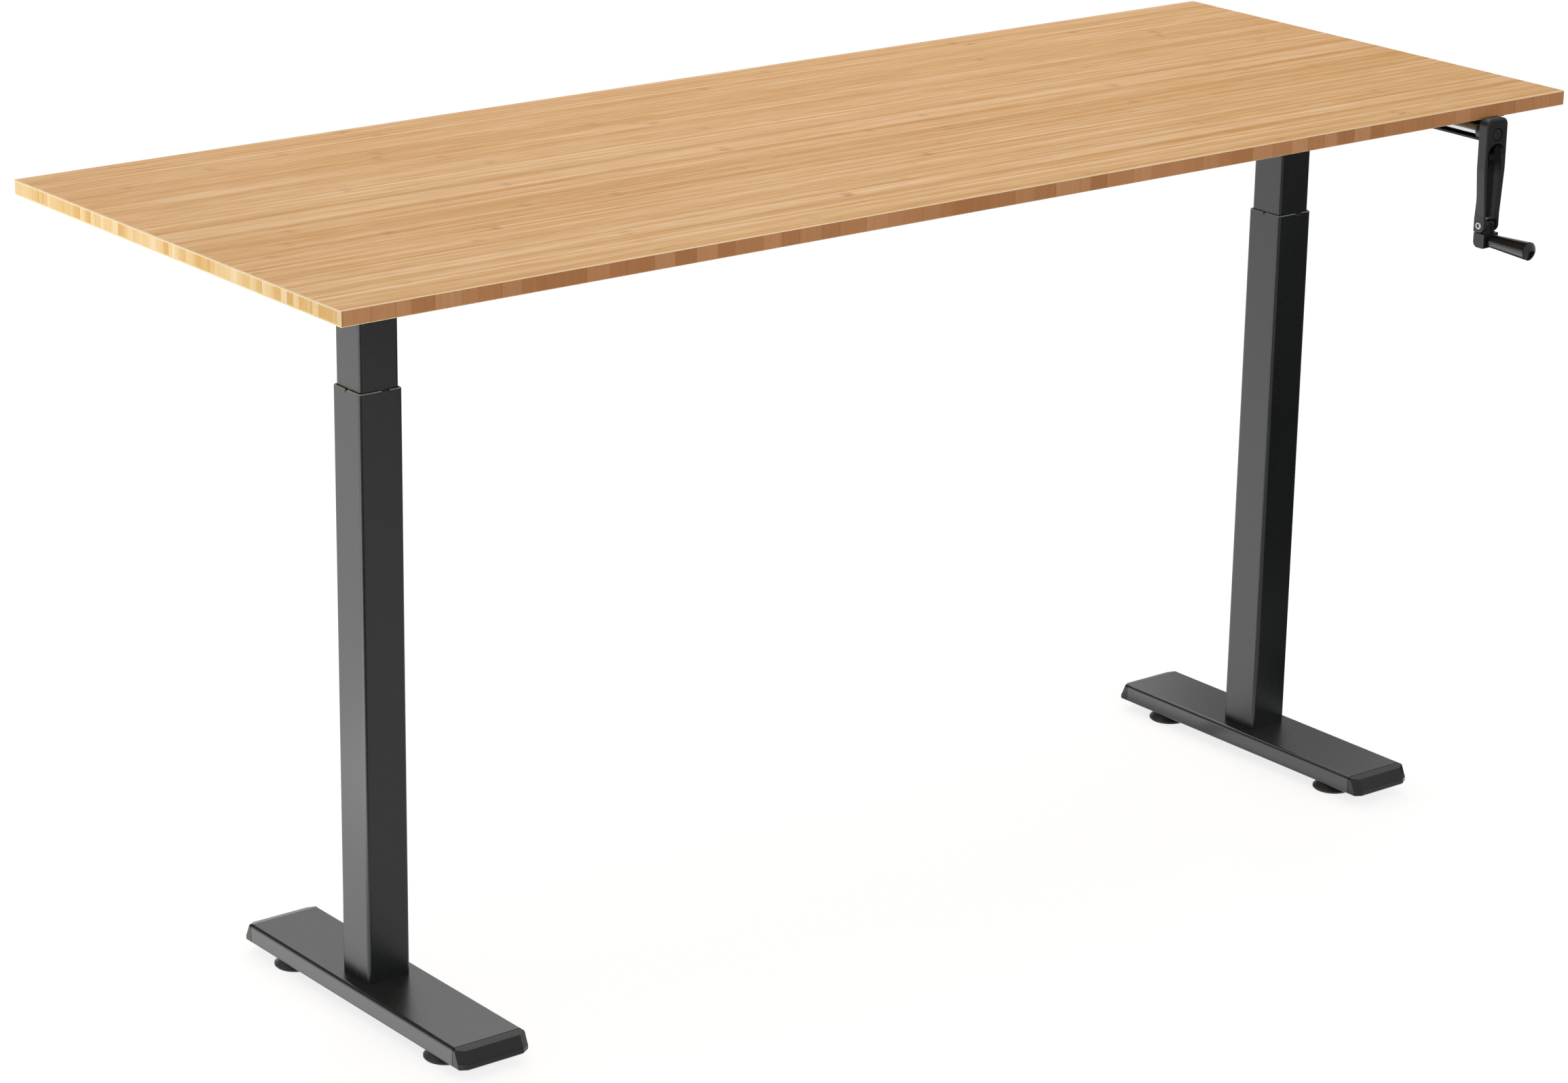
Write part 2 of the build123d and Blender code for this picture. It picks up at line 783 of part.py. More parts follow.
# Crank rod, its bush and its support
def crank_rod():
    front = arm_front + plug_thick
    rear = leg_y - hub_end - part_gap
    rod = rod_between((crank_x, front, axis_z), (crank_x, rear, axis_z), rod_diameter)
    tip = leg_y - gear_radius * gear_inner_share
    return rod + rod_between((crank_x, rear, axis_z), (crank_x, tip, axis_z), rod_end_diameter)


def crank_support():
    half = rod_bush_diameter / 2
    floor = bush_seat_z
    start = front_y + support_setback
    low_x = crank_x - strap_width / 2
    section = [
        (low_x, floor),
        (crank_x + half, floor),
        (crank_x + half, under_z),
        (crank_x + half + support_sheet + support_flange, under_z),
        (crank_x + half + support_sheet + support_flange, under_z - support_sheet),
        (crank_x + half + support_sheet, under_z - support_sheet),
        (crank_x + half + support_sheet, floor - support_sheet),
        (low_x, floor - support_sheet),
    ]
    face = make_face(Polyline(section, close=True))
    support = extrude(facing_front(0, start, 0) * face, amount=-support_length)
    # A strap runs forward under the bush, to just behind the arm's boss
    high_x = crank_x + half + support_sheet
    support += span_box(low_x, high_x, bush_front_y, start, floor - support_sheet, floor)
    for x, y, seat in wood_screw_spots():
        if seat == under_z - support_sheet and x > crank_x:
            support -= rod_between((x, y, seat - 1), (x, y, under_z + 1), wood_screw)
    return support


def rod_bush():
    half = rod_bush_diameter / 2
    # Round collar with a flat that sits on the strap
    face = Circle(half) - Pos(0, bush_seat_z - axis_z - half) * Rectangle(2 * half, 2 * half)
    face -= Circle(rod_diameter / 2 + run_clear)
    return extrude(facing_front(crank_x, bush_front_y, axis_z) * face, amount=-rod_bush_length)


# Crank arm
def grip_profile():
    # Half outline of the grip, from its root at the fold block to its domed end, along its own axis
    root = hinge_depth + grip_start_gap
    end = grip_reach - grip_dome
    root_radius = grip_root_diameter / 2
    end_radius = grip_end_diameter / 2
    tip = grip_reach
    outline = Polyline([(0, root), (root_radius, root), (end_radius, end)])
    rise = tip - end
    sphere = (end_radius**2 + rise**2) / (2 * rise)
    half_turn = math.asin(end_radius / sphere) / 2
    middle = (sphere * math.sin(half_turn), tip - sphere + sphere * math.cos(half_turn))
    dome = ThreePointArc((end_radius, end), middle, (0, tip))
    return make_face([*outline.edges(), dome, Line((0, tip), (0, root))])


def arm_outline():
    # Front view: wide rounded head, long taper to the hinge end
    head = arm_top_width / 2
    low = arm_low_width / 2
    points = [
        (-low, -hinge_depth),
        (low, -hinge_depth),
        (low, arm_taper_low),
        (head, arm_taper_high),
        (head, arm_throw + arm_head),
        (-head, arm_throw + arm_head),
        (-head, arm_taper_high),
        (-low, arm_taper_low),
    ]
    face = make_face(Polyline(points, close=True))
    face = fillet(face.vertices().group_by(Axis.Y)[-1], arm_head_radius)
    return fillet(face.vertices().group_by(Axis.Y)[2], arm_waist_radius)


def bowl_radius(half, depth):
    return (half**2 + depth**2) / (2 * depth)


def bowl(half, depth, z):
    # Circle in plan that cuts the front of the arm to this half width and depth
    radius = bowl_radius(half, depth)
    return Pos(crank_x, arm_front + depth - radius, z) * Circle(radius)


def crank_arm():
    arm = extrude(facing_front(crank_x, arm_front, hinge_z) * arm_outline(), amount=-arm_low_depth)
    # Side view: the hinge end is round at the front and deeper at the back
    crown = axis_z + arm_head
    foot = hinge_z - hinge_depth
    curve_high = (arm_slim, hinge_z + arm_back_high)
    curve_low = (arm_rear, hinge_z + arm_back_low)
    side_view = make_face(
        [
            Line((arm_front, hinge_z), (arm_front, crown)),
            Line((arm_front, crown), (arm_slim, crown)),
            Line((arm_slim, crown), curve_high),
            Spline(curve_high, curve_low, tangents=[(0, -1), (0, -1)]),
            Line(curve_low, (arm_rear, foot)),
            Line((arm_rear, foot), (hinge_y, foot)),
            CenterArc((hinge_y, hinge_z), hinge_depth, 180, 90),
        ]
    )
    arm &= extrude(facing_x(crank_x - arm_top_width, 0, 0) * side_view, amount=2 * arm_top_width)
    front_edges = arm.faces().sort_by(Axis.Y)[0].edges()
    arm = fillet(front_edges.filter_by(lambda e: e.center().Z > hinge_z + 1), arm_edge_radius)
    # Boss and bore for the rod
    plug_seat = (crank_x, arm_front + plug_thick, axis_z)
    boss_end = arm_slim + boss_length
    arm += rod_between((crank_x, arm_slim - 1, axis_z), (crank_x, boss_end, axis_z), boss_diameter)
    arm -= rod_between(plug_seat, (crank_x, boss_end + 1, axis_z), rod_diameter)
    arm -= rod_between((crank_x, arm_front - 1, axis_z), plug_seat, plug_diameter)
    # Long trough that takes the folded grip, with a round finger pocket at its upper end
    slot_top = hinge_z + tongue_radius + slot_room
    low_bowl = bowl(trough_low_half, trough_low_depth, slot_top)
    high_bowl = bowl(trough_high_half, trough_high_depth, hinge_z + trough_high)
    arm -= loft([low_bowl, high_bowl], ruled=True)
    pocket_radius = bowl_radius(pocket_half, pocket_depth)
    pocket_y = arm_front + pocket_depth - pocket_radius
    arm -= Pos(crank_x, pocket_y, hinge_z + pocket_high) * Sphere(pocket_radius)
    # Slot for the tongue of the fold block
    half = tongue_thick / 2 + slide_clear
    arm -= span_box(crank_x - half, crank_x + half, arm_front - 1, arm_rear + 1, foot - 1, slot_top)
    side_x = crank_x - arm_low_width / 2
    recess = (side_x + hinge_recess, hinge_y, hinge_z)
    arm -= rod_between((side_x - 1, hinge_y, hinge_z), recess, hinge_recess_diameter)
    return arm - rod_between(recess, (side_x + arm_low_width + 1, hinge_y, hinge_z), hinge_bolt)


def arm_plug():
    return rod_between(
        (crank_x, arm_front + part_gap, axis_z), (crank_x, arm_front + plug_thick, axis_z), plug_diameter
    )


def hinge_screw():
    half = arm_low_width / 2
    plane = facing_x(crank_x - half + hinge_recess, hinge_y, hinge_z)
    screw = extrude(plane * Circle(hinge_bolt / 2), amount=arm_low_width - hinge_recess)
    head = extrude(plane * Circle(hinge_head / 2), amount=-hinge_head_rise)
    head = fillet(head.edges().group_by(Axis.X)[0], hinge_head_rise / 2)
    socket = extrude(plane * hexagon(hinge_key), amount=-2 * hinge_head_rise)
    return screw + head - socket


# Fold block with its tongue, spindle and grip
def fold_block():
    half = block_width / 2
    block = span_box(
        crank_x - half, crank_x + half, arm_front, arm_rear, block_top - block_height, block_top
    )
    rear = block.edges().filter_by(Axis.X).group_by(Axis.Z)[0].sort_by(Axis.Y)[-1]
    block = fillet(rear, block_rear_radius)
    front = block.edges().filter_by(Axis.X).group_by(Axis.Y)[0].sort_by(Axis.Z)[0]
    block = fillet(front, block_front_radius)
    tongue_half = tongue_thick / 2
    start = (crank_x - tongue_half, hinge_y, hinge_z)
    tongue = rod_between(start, (crank_x + tongue_half, hinge_y, hinge_z), 2 * tongue_radius)
    tongue += span_box(
        crank_x - tongue_half,
        crank_x + tongue_half,
        hinge_y - tongue_radius,
        hinge_y + tongue_radius,
        block_top - 1,
        hinge_z,
    )
    # The tongue has a flat top and a shallow groove down its front
    tongue_front = hinge_y - tongue_radius
    tongue_rear = hinge_y + tongue_radius
    flat = hinge_z + tongue_rise
    left = crank_x - tongue_half
    right = crank_x + tongue_half
    tongue -= span_box(left - 1, right + 1, tongue_front - 1, tongue_rear + 1, flat, flat + tongue_radius)
    groove_left = crank_x - tongue_groove / 2
    groove_rear = tongue_front + tongue_groove_depth
    tongue -= span_box(
        groove_left, groove_left + tongue_groove, tongue_front - 1, groove_rear, block_top, flat + 1
    )
    block += tongue
    pin = hinge_bolt + 2 * run_clear
    left = crank_x - half
    block -= rod_between((left, hinge_y, hinge_z), (left + block_width, hinge_y, hinge_z), pin)
    return block - rod_between(
        (crank_x, arm_front - 1, grip_z), (crank_x, spindle_root_y, grip_z), spindle_diameter
    )


def grip_spindle():
    start = (crank_x, spindle_root_y, grip_z)
    return rod_between(start, (crank_x, spindle_tip_y, grip_z), spindle_diameter)


def grip():
    solid = revolve(Plane.XZ * grip_profile(), Axis.Z)
    solid = Pos(crank_x, hinge_y, grip_z) * Rot(90, 0, 0) * solid
    bore_end = (crank_x, spindle_tip_y - part_gap, grip_z)
    solid -= rod_between((crank_x, arm_front, grip_z), bore_end, spindle_diameter + 2 * run_clear)
    # A fine ring parts the domed end from the barrel
    tip_y = hinge_y - grip_reach
    ring = Circle(grip_end_diameter) - Circle(grip_end_diameter / 2 - grip_ring_depth)
    solid -= extrude(facing_front(crank_x, tip_y + grip_dome, grip_z) * ring, amount=-grip_ring)
    hole_end = (crank_x, tip_y + grip_end_hole_depth, grip_z)
    return solid - rod_between((crank_x, tip_y - 1, grip_z), hole_end, grip_end_hole)


# Build every piece
nodes["tabletop"] = tabletop()
nodes["tabletop_screws"] = tabletop_screws()
for side in ("left", "right"):
    nodes[side + "_foot_tube"] = foot_tube(side)
    nodes[side + "_front_foot_cap"] = foot_cap(side, -1)
    nodes[side + "_rear_foot_cap"] = foot_cap(side, 1)
    for place, row in zip(("front", "rear"), glide_rows()):
        nodes[side + "_" + place + "_glide"] = levelling_glide(side, row)
    nodes[side + "_outer_column"] = outer_column(side)
    nodes[side + "_guide_sleeve"] = guide_sleeve(side)
    nodes[side + "_base_plate"] = base_plate(side)
    nodes[side + "_foot_bolts"] = foot_bolts(side)
    nodes[side + "_nut_tube"] = nut_tube(side)
    nodes[side + "_lead_nut"] = lead_nut(side)
    nodes[side + "_inner_column"] = inner_column(side)
    nodes[side + "_column_shoe"] = column_shoe(side)
    nodes[side + "_lead_screw"] = lead_screw(side)
    nodes[side + "_gear_housing"] = gear_housing(side)
    nodes[side + "_housing_cover"] = housing_cover(side)
    nodes[side + "_side_bracket"] = side_bracket(side)
    apex = (leg_x[side], leg_y, axis_z)
    nodes[side + "_shaft_gear"] = mitre_gear(apex, (-1, 0, 0), (0, 0, -1), 0.0, hex_section(30))
    nodes[side + "_screw_gear"] = mitre_gear(apex, (0, 0, -1), (-1, 0, 0), 0.5, Circle(journal_diameter / 2))
crank_apex = (crank_x, leg_y, axis_z)
nodes["crank_shaft_gear"] = mitre_gear(crank_apex, (-1, 0, 0), (0, -1, 0), 0.0, hex_section())
nodes["crank_pinion"] = mitre_gear(crank_apex, (0, -1, 0), (-1, 0, 0), 0.5, Circle(rod_end_diameter / 2))
nodes["cross_shaft"] = cross_shaft()
nodes["gear_bushes"] = gear_bushes()
nodes["screw_bearings"] = screw_bearings()
nodes["cover_screws"] = cover_screws()
nodes["housing_bolts"] = housing_bolts()
nodes["front_rail"] = cross_rail(-1)
nodes["rear_rail"] = cross_rail(1)
nodes["rail_bolts"] = rail_bolts()
nodes["crank_rod"] = crank_rod()
nodes["crank_support"] = crank_support()
nodes["rod_bush"] = rod_bush()
nodes["crank_arm"] = crank_arm()
nodes["arm_plug"] = arm_plug()
nodes["hinge_screw"] = hinge_screw()
nodes["fold_block"] = fold_block()
nodes["grip_spindle"] = grip_spindle()
nodes["grip"] = grip()

os.makedirs("parts", exist_ok=True)
for name, shape in nodes.items():
    shape.label = name
    export_step(shape, "parts/" + name + ".step")
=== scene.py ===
import math

import bpy
from mathutils import Matrix, Vector

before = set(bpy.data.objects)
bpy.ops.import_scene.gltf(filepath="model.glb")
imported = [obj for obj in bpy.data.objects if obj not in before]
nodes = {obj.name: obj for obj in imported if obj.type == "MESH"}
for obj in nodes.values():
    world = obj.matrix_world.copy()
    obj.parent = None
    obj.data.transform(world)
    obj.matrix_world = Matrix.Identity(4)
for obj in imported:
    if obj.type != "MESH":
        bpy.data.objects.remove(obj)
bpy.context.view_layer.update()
scene = bpy.context.scene
scene.view_settings.view_transform = "Standard"

# Sizes that the looks follow, in metres
STRIP = 0.017  # bamboo strips on the faces
LATH = 0.0058  # finer strips on the faces
NODE_SPACING = 0.27  # growth nodes along a strip
END_STRIP = 0.0105  # upright strips on the ends
BLOCK = 0.025  # blocks on the long edges
RIM_HIGHLIGHT_DEPTH = 0.004  # depth of the pale painted highlight round the top of a tube
GLIDE_FOOT = 0.0122  # height of a glide's plastic foot, with its stud above
PLUG_FACE = 0.0062  # radius of the plug's face, with a groove round it
SCOOP_HALF = 0.0104  # half the width of the scoop in the crank arm

# Colours and grain that several looks share
COAT_DARK, COAT_LIGHT = (0.0025, 0.0046, 0.0038), (0.0085, 0.0106, 0.0098)
ARM_DARK, ARM_LIGHT = (0.009, 0.0095, 0.010), (0.016, 0.0165, 0.017)
NEAR_BLACK = (0.001, 0.001, 0.001)
ARM_GRAIN = 1500.0
EVEN = (1.0, 1.0, 1.0)


# Short ways to write shader nodes
class Look:
    """One material, with helpers that add a node and give back its output."""

    def __init__(self, name):
        self.material = bpy.data.materials.new(name)
        self.material.use_nodes = True
        self.tree = self.material.node_tree
        self.shader = self.tree.nodes["Principled BSDF"]
        coords = self.add("ShaderNodeTexCoord")
        self.place = coords.outputs["Object"]
        self.facing = coords.outputs["Normal"]

    def add(self, kind, **settings):
        node = self.tree.nodes.new(kind)
        for key, value in settings.items():
            setattr(node, key, value)
        return node

    def feed(self, socket, value):
        if isinstance(value, bpy.types.NodeSocket):
            self.tree.links.new(value, socket)
        else:
            socket.default_value = value

    def math(self, operation, *values):
        node = self.add("ShaderNodeMath", operation=operation)
        for socket, value in zip(node.inputs, values):
            self.feed(socket, value)
        return node.outputs[0]

    def times(self, first, *others):
        for other in others:
            first = self.math("MULTIPLY", first, other)
        return first

    def sway(self, value, share, base):
        """The base, moved by a share of how far the value lies from 0.5."""
        return self.math("MULTIPLY_ADD", self.math("SUBTRACT", value, 0.5), share, base)

    def split(self, vector):
        node = self.add("ShaderNodeSeparateXYZ")
        self.feed(node.inputs[0], vector)
        return node.outputs[0], node.outputs[1], node.outputs[2]

    def noise(self, vector, scale, detail=2.0, rough=0.5):
        node = self.add("ShaderNodeTexNoise")
        self.feed(node.inputs["Vector"], vector)
        node.inputs["Scale"].default_value = scale
        node.inputs["Detail"].default_value = detail
        node.inputs["Roughness"].default_value = rough
        return node.outputs[0]

    def grain(self, factors, detail=2.0, rough=0.5):
        """Noise drawn out along the axes: a small factor makes it long."""
        node = self.add("ShaderNodeVectorMath", operation="MULTIPLY")
        self.feed(node.inputs[0], self.place)
        node.inputs[1].default_value = factors
        return self.noise(node.outputs[0], 1.0, detail, rough)

    def chance(self, value):
        node = self.add("ShaderNodeTexWhiteNoise", noise_dimensions="1D")
        self.feed(node.inputs["W"], value)
        return node.outputs["Value"]

    def cells(self, value, width):
        """Uneven cells along one axis: three chance numbers and the centre of each."""
        node = self.add("ShaderNodeTexVoronoi", voronoi_dimensions="1D")
        self.feed(node.inputs["W"], value)
        node.inputs["Scale"].default_value = 1 / width
        return self.split(node.outputs["Color"]), node.outputs["W"]

    def cell_edge(self, value, width):
        node = self.add("ShaderNodeTexVoronoi", voronoi_dimensions="1D", feature="DISTANCE_TO_EDGE")
        self.feed(node.inputs["W"], value)
        node.inputs["Scale"].default_value = 1 / width
        return node.outputs["Distance"]

    def ramp(self, factor, *stops):
        node = self.add("ShaderNodeValToRGB")
        self.feed(node.inputs[0], factor)
        while len(node.color_ramp.elements) < len(stops):
            node.color_ramp.elements.new(0.5)
        for element, (position, colour) in zip(node.color_ramp.elements, stops):
            element.position = position
            element.color = (*colour, 1.0)
        return node.outputs[0]

    def remap(self, value, low, high, to_low, to_high):
        node = self.add("ShaderNodeMapRange")
        for socket, number in zip(node.inputs, (value, low, high, to_low, to_high)):
            self.feed(socket, number)
        return node.outputs[0]

    def mix(self, factor, first, second):
        node = self.add("ShaderNodeMix", data_type="RGBA", blend_type="MIX")
        self.feed(node.inputs[0], factor)
        for socket, value in ((node.inputs[6], first), (node.inputs[7], second)):
            self.feed(socket, (*value, 1.0) if isinstance(value, tuple) else value)
        return node.outputs[2]

    def bump(self, height, strength, distance, under=None):
        node = self.add("ShaderNodeBump")
        node.inputs["Strength"].default_value = strength
        node.inputs["Distance"].default_value = distance
        self.feed(node.inputs["Height"], height)
        if under is not None:
            self.feed(node.inputs["Normal"], under)
        return node.outputs[0]

    def set(self, **values):
        for key, value in values.items():
            self.feed(self.shader.inputs[key.replace("_", " ")], value)
        return self.material


# Bamboo faces: uneven strips with their own tone, fibres along them
def bamboo_face(look, x, y, fibre, hair):
    (tone, shift, pale), _ = look.cells(y, STRIP)
    lath = look.chance(look.math("FLOOR", look.math("DIVIDE", y, LATH)))
    broad = look.grain((0.8, 30.0, 10.0))
    streak = look.grain((6.5, 170.0, 10.0), rough=0.55)
    dash = look.grain((20.0, 340.0, 60.0), rough=0.6)
    factor = 0.5
    shares = (tone, 0.26), (lath, 0.34), (fibre, 0.90), (hair, 0.45), (broad, 0.36), (streak, 0.62)
    for part, share in shares:
        factor = look.sway(part, share, factor)
    face = look.ramp(
        factor,
        (0.10, (0.510, 0.236, 0.046)),
        (0.38, (0.600, 0.311, 0.094)),
        (0.62, (0.662, 0.380, 0.156)),
        (0.92, (0.775, 0.507, 0.272)),
    )
    rim = look.cell_edge(y, STRIP)
    lined = look.math("GREATER_THAN", pale, 0.55)
    glint = look.times(look.remap(rim, 0.0, 0.09, 0.5, 0.0), lined)
    face = look.mix(glint, face, (0.800, 0.560, 0.330))

    # Short dark and pale dashes
    face = look.mix(look.remap(dash, 0.55, 0.66, 0.0, 0.30), face, (0.490, 0.216, 0.045))
    face = look.mix(look.remap(dash, 0.45, 0.34, 0.0, 0.24), face, (0.800, 0.570, 0.330))

    # Darker flecks at the growth nodes, on some strips
    along = look.math("ADD", look.math("DIVIDE", x, NODE_SPACING), look.times(shift, 7.0))
    length_number = look.times(look.math("FLOOR", along), 3.7)
    strong = look.chance(look.math("MULTIPLY_ADD", tone, 191.0, length_number))
    middle = look.math("ABSOLUTE", look.math("SUBTRACT", look.math("FRACT", along), 0.5))
    ragged = look.grain((60.0, 430.0, 60.0), rough=0.6)
    growth = look.times(
        look.remap(middle, 0.006, 0.040, 1.0, 0.0),
        look.remap(strong, 0.42, 1.0, 0.0, 1.0),
        look.remap(ragged, 0.42, 0.60, 0.0, 1.0),
        look.remap(rim, 0.02, 0.16, 0.0, 0.85),
    )
    return look.mix(growth, face, (0.400, 0.148, 0.024))


# Bamboo ends: pale upright strips, each shaded across, between a plain lowest and a pale highest layer
def bamboo_end(look, y, z, low, high):
    (red, green, blue), centre = look.cells(y, END_STRIP)
    across = look.times(look.math("SUBTRACT", y, centre), 1 / END_STRIP)
    lean = look.times(across, look.math("SUBTRACT", blue, 0.35))
    line = look.grain((1.0, 620.0, 5.0), rough=0.6)
    factor = look.math("MULTIPLY_ADD", lean, 0.9, look.sway(line, 0.60, red))
    end = look.ramp(
        factor,
        (0.00, (0.575, 0.335, 0.105)),
        (0.30, (0.648, 0.434, 0.180)),
        (0.70, (0.692, 0.500, 0.252)),
        (1.00, (0.732, 0.565, 0.345)),
    )
    seam = look.remap(look.cell_edge(y, END_STRIP), 0.0, 0.06, 0.8, 0.0)
    seam = look.times(seam, look.math("GREATER_THAN", green, 0.72))
    end = look.mix(seam, end, (0.420, 0.215, 0.050))
    lowest = look.remap(z, low + 0.0019, low + 0.0025, 1.0, 0.0)
    plain = look.ramp(line, (0.3, (0.670, 0.510, 0.280)), (0.7, (0.705, 0.560, 0.330)))
    end = look.mix(lowest, end, plain)
    highest = look.remap(z, high - 0.0021, high - 0.0016, 0.0, 1.0)
    return look.mix(highest, end, (0.755, 0.600, 0.380))


# Bamboo long edges: browner blocks, each with a fine upright grain
def bamboo_edge(look, x):
    (red, green, _), _ = look.cells(x, BLOCK)
    line = look.grain((300.0, 1.0, 9.0))
    speck = look.grain((700.0, 1.0, 2200.0))
    factor = look.math("MULTIPLY_ADD", red, 0.70, 0.15)
    factor = look.sway(speck, 0.35, look.sway(line, 0.35, factor))
    edge = look.ramp(
        factor,
        (0.00, (0.495, 0.212, 0.080)),
        (0.40, (0.600, 0.273, 0.113)),
        (0.75, (0.670, 0.328, 0.150)),
        (1.00, (0.755, 0.404, 0.202)),
    )
    ripple = look.math("MULTIPLY_ADD", look.grain((20.0, 1.0, 900.0), 1.0), 0.0012, x)
    seam = look.remap(look.cell_edge(ripple, BLOCK), 0.0, 0.04, 0.5, 0.0)
    return look.mix(look.times(seam, green), edge, (0.330, 0.145, 0.045))


# Bamboo board: its faces, ends and long edges look different, and the rounded arris gets the palest colour
# as a painted highlight
def bamboo(low, high):
    look = Look("bamboo")
    x, y, z = look.split(look.place)
    nx, ny, nz = (look.math("ABSOLUTE", n) for n in look.split(look.facing))
    fibre = look.grain((4.0, 330.0, 40.0), 3.0, 0.6)
    hair = look.grain((9.0, 1000.0, 60.0), rough=0.6)
    face = bamboo_face(look, x, y, fibre, hair)
    end = bamboo_end(look, y, z, low, high)
    edge = bamboo_edge(look, x)
    sides = look.mix(look.math("GREATER_THAN", nx, ny), edge, end)
    whole = look.mix(look.math("GREATER_THAN", nz, 0.9), sides, face)
    # Painted highlight: the rounded edges, where no face is square, get a pale colour
    squarest = look.math("MAXIMUM", nx, look.math("MAXIMUM", ny, nz))
    arris_highlight = look.ramp(fibre, (0.3, (0.850, 0.650, 0.400)), (0.7, (0.920, 0.740, 0.480)))
    whole = look.mix(look.math("LESS_THAN", squarest, 0.9), whole, arris_highlight)
    height = look.math("MULTIPLY_ADD", hair, 0.4, fibre)
    return look.set(
        Base_Color=whole,
        Roughness=look.remap(fibre, 0.3, 0.7, 0.56, 0.46),
        Specular_IOR_Level=0.12,
        Normal=look.bump(height, 0.10, 0.0006),
    )


# Powder coat on the steel, with more or less relief. A pale painted highlight runs round the top of a tube
def powder_coat(name, dark, light, rough, specular, grain=0.0017, rim=None, relief=1.0):
    look = Look(name)
    speck = look.noise(look.place, 1 / grain, 2.0, 0.6)
    drift = look.noise(look.place, 7.0, 3.0, 0.5)
    peel = look.noise(look.place, 1 / (grain * 2.6), 2.0, 0.5)
    colour = look.ramp(look.sway(drift, 0.35, speck), (0.30, dark), (0.70, light))
    if rim is not None:
        _, _, z = look.split(look.place)
        _, _, up = look.split(look.facing)
        # Painted highlight: the upward faces round the top of the tube get a pale colour in place of the
        # coat
        at_rim = look.math("GREATER_THAN", z, rim - RIM_HIGHLIGHT_DEPTH)
        rim_highlight = look.times(at_rim, look.math("GREATER_THAN", up, 0.4))
        rim_highlight_colour = look.ramp(speck, (0.3, (0.20, 0.23, 0.26)), (0.7, (0.30, 0.34, 0.38)))
        colour = look.mix(rim_highlight, colour, rim_highlight_colour)
    waves = look.bump(peel, 0.10 * relief, 0.0005)
    return look.set(
        Base_Color=colour,
        Roughness=look.sway(speck, 0.16 * relief, rough),
        Specular_IOR_Level=specular,
        Normal=look.bump(speck, 0.20 * relief, 0.0003, waves),
    )


# Moulded plastic with a fine spark-eroded grain
def moulded(name, dark, light, rough, specular, grain=0.0006, strength=0.12):
    look = Look(name)
    fine = look.noise(look.place, 1 / grain, 3.0, 0.65)
    flow = look.noise(look.place, 38.0, 2.0, 0.5)
    factor = look.sway(flow, 0.5, fine)
    return look.set(
        Base_Color=look.ramp(factor, (0.25, dark), (0.75, light)),
        Roughness=look.sway(factor, 0.14, rough),
        Specular_IOR_Level=specular,
        Normal=look.bump(fine, strength, 0.00015),
    )


# The crank arm: satin outside, smoother in the scoop for the folded grip, with painted shade in the scoop
# that turns near black at the scoop's head
def arm_plastic(front, middle, head_shade_z):
    look = Look("arm_plastic")
    x, y, z = look.split(look.place)
    _, facing_back, _ = look.split(look.facing)
    fine = look.noise(look.place, ARM_GRAIN, 3.0, 0.65)
    flow = look.noise(look.place, 38.0, 2.0, 0.5)
    factor = look.sway(flow, 0.5, fine)
    outside = look.ramp(factor, (0.25, ARM_DARK), (0.75, ARM_LIGHT))
    # Painted shade: a slightly darker copy of the plastic inside the scoop
    scoop_shade_colour = look.ramp(factor, (0.25, (0.008, 0.008, 0.0085)), (0.75, (0.014, 0.014, 0.0145)))
    # Painted shade: near black towards the scoop's head
    head_shade = look.remap(z, head_shade_z - 0.012, head_shade_z + 0.004, 0.0, 1.0)
    scoop_shade_colour = look.mix(head_shade, scoop_shade_colour, NEAR_BLACK)
    side = look.math("ABSOLUTE", look.math("SUBTRACT", x, middle))
    scoop = look.times(
        look.remap(y, front + 0.0003, front + 0.0012, 0.0, 1.0),
        look.math("LESS_THAN", facing_back, 0.0),
        look.remap(side, SCOOP_HALF, SCOOP_HALF + 0.0012, 1.0, 0.0),
    )
    return look.set(
        Base_Color=look.mix(scoop, outside, scoop_shade_colour),
        Roughness=look.sway(factor, 0.14, look.remap(scoop, 0.0, 1.0, 0.38, 0.24)),
        Specular_IOR_Level=look.math("MULTIPLY_ADD", look.times(scoop, head_shade), -0.20, 0.30),
        Normal=look.bump(fine, 0.12, 0.00015),
    )


# The plug in the arm's head, with painted near-black shade in the groove round it
def plug_plastic(centre):
    look = Look("plug_plastic")
    x, _, z = look.split(look.place)
    across = look.math("SUBTRACT", x, centre[0])
    along = look.math("SUBTRACT", z, centre[2])
    square = look.math("MULTIPLY_ADD", across, across, look.times(along, along))
    radius = look.math("SQRT", square)
    fine = look.noise(look.place, ARM_GRAIN, 3.0, 0.65)
    colour = look.ramp(fine, (0.25, ARM_DARK), (0.75, ARM_LIGHT))
    # Painted shade: the groove round the plug's face is near black
    groove_shade = look.remap(radius, PLUG_FACE, PLUG_FACE + 0.0006, 0.0, 1.0)
    return look.set(
        Base_Color=look.mix(groove_shade, colour, NEAR_BLACK),
        Roughness=look.math("MULTIPLY_ADD", fine, 0.14, 0.33),
        Specular_IOR_Level=look.remap(groove_shade, 0.0, 1.0, 0.30, 0.02),
        Normal=look.bump(fine, 0.12, 0.00015),
    )


# Metals: drawn along one axis, or plain with a fine scratched finish
def metal(name, dark, light, rough, stretch=EVEN, grain=0.0008, strength=0.08):
    look = Look(name)
    lines = look.grain(tuple(s / grain for s in stretch), 3.0, 0.6)
    cloud = look.noise(look.place, 26.0, 2.0, 0.5)
    factor = look.sway(cloud, 0.6, lines)
    return look.set(
        Base_Color=look.ramp(factor, (0.25, dark), (0.75, light)),
        Metallic=1.0,
        Roughness=look.sway(factor, 0.22, rough),
        Normal=look.bump(lines, strength, 0.0001),
    )


